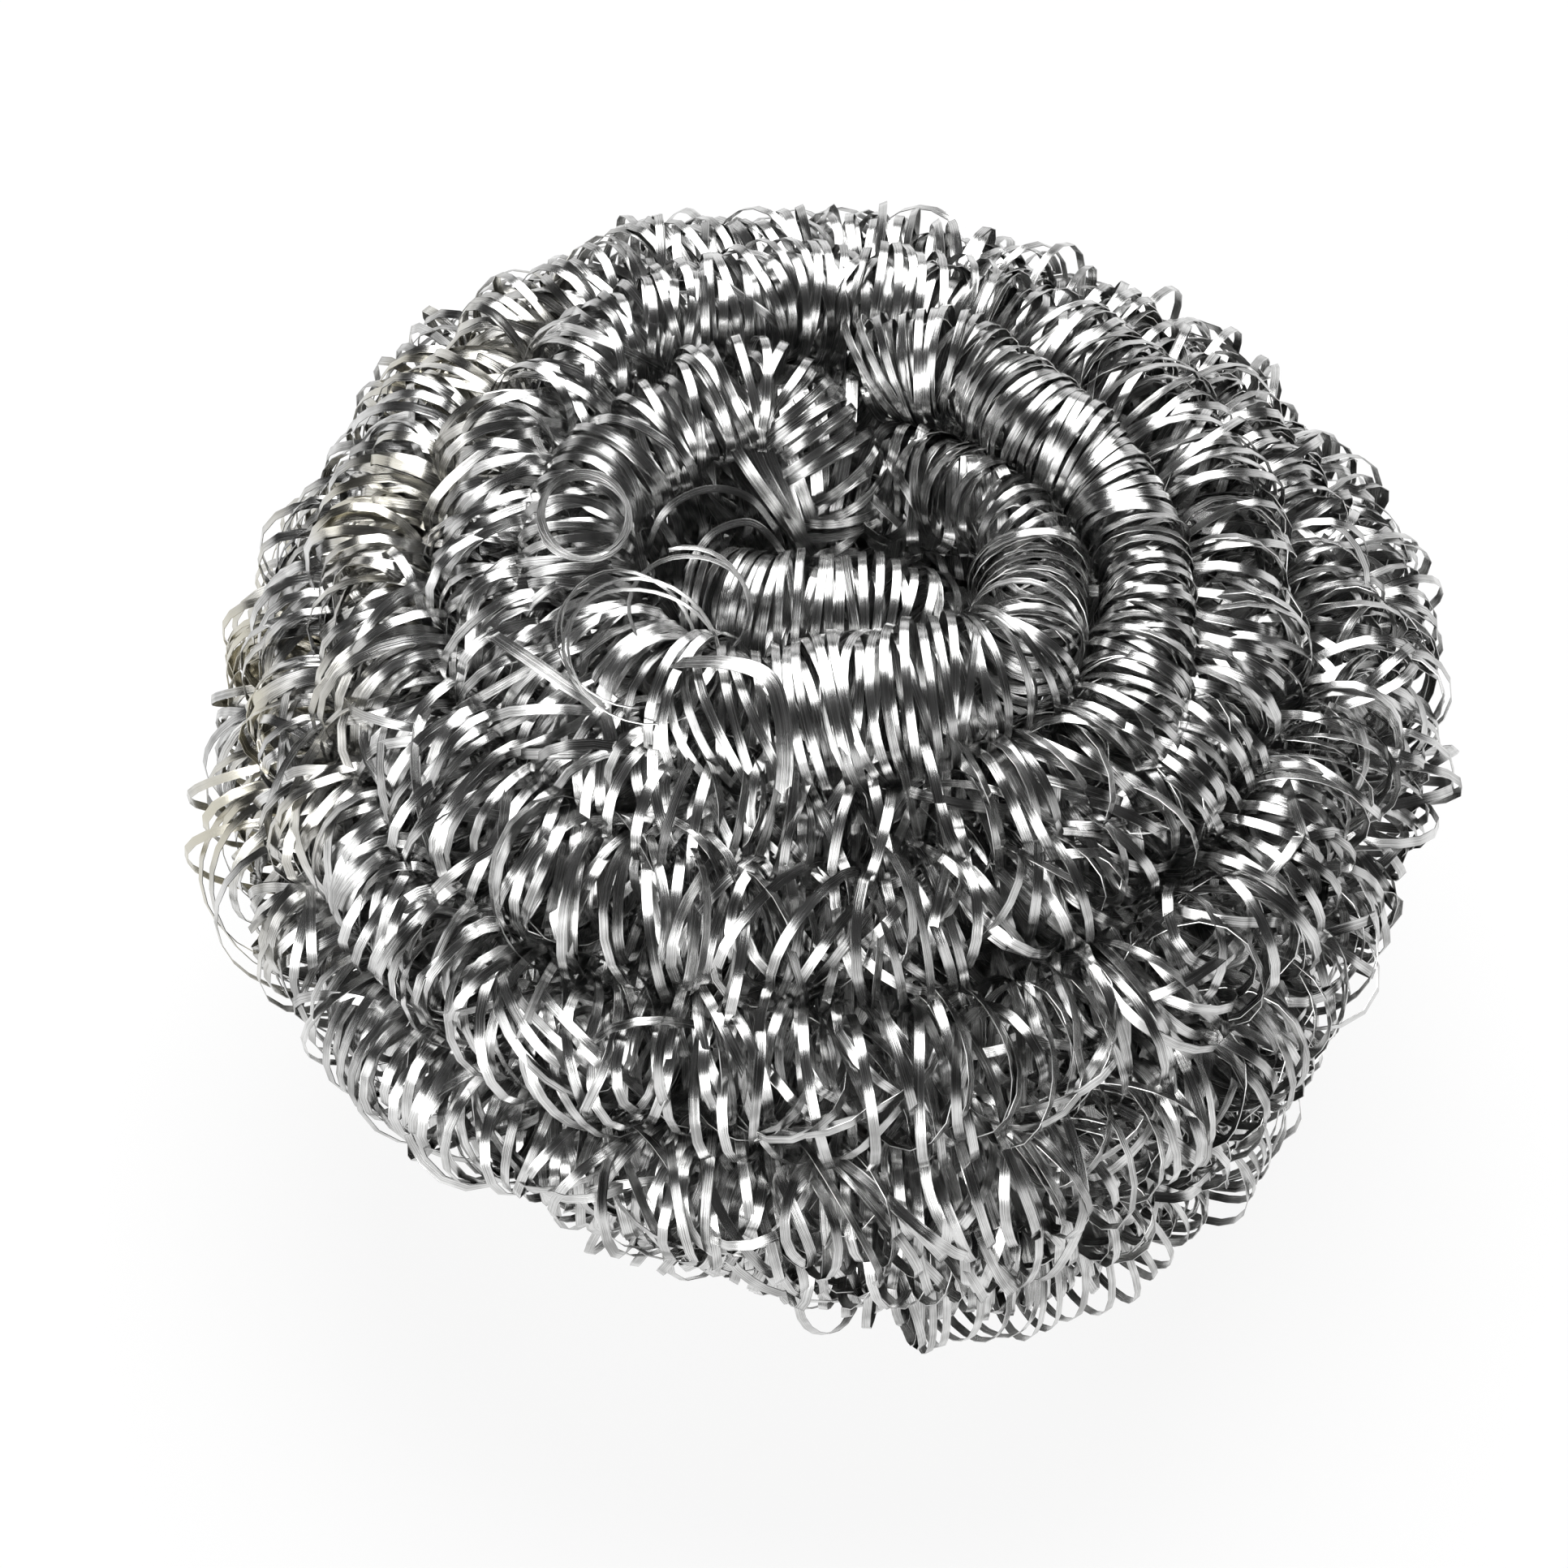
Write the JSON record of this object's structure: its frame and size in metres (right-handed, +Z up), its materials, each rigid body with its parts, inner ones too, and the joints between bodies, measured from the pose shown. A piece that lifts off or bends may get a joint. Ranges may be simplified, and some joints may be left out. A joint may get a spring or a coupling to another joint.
{
  "type": "spiral metal scourer",
  "caption": "Bun-shaped roll of curled flat steel ribbon, wound row after row, for scouring pans and for wiping hot soldering tips.",
  "frame": {"origin": "middle of the flat spot that the roll rests on, under the middle of its bounding box", "axes": "+Z up through the hollow on top, +X to the right and +Y to the back as the roll is looked at from the front"},
  "size_m": [0.0772, 0.0789, 0.05],
  "materials": {
    "steel_ribbon": "bright rolled flat ribbon, curled"
  },
  "bodies": {
    "root": {"ribbon_roll": "steel_ribbon"}
  },
  "joints": []
}
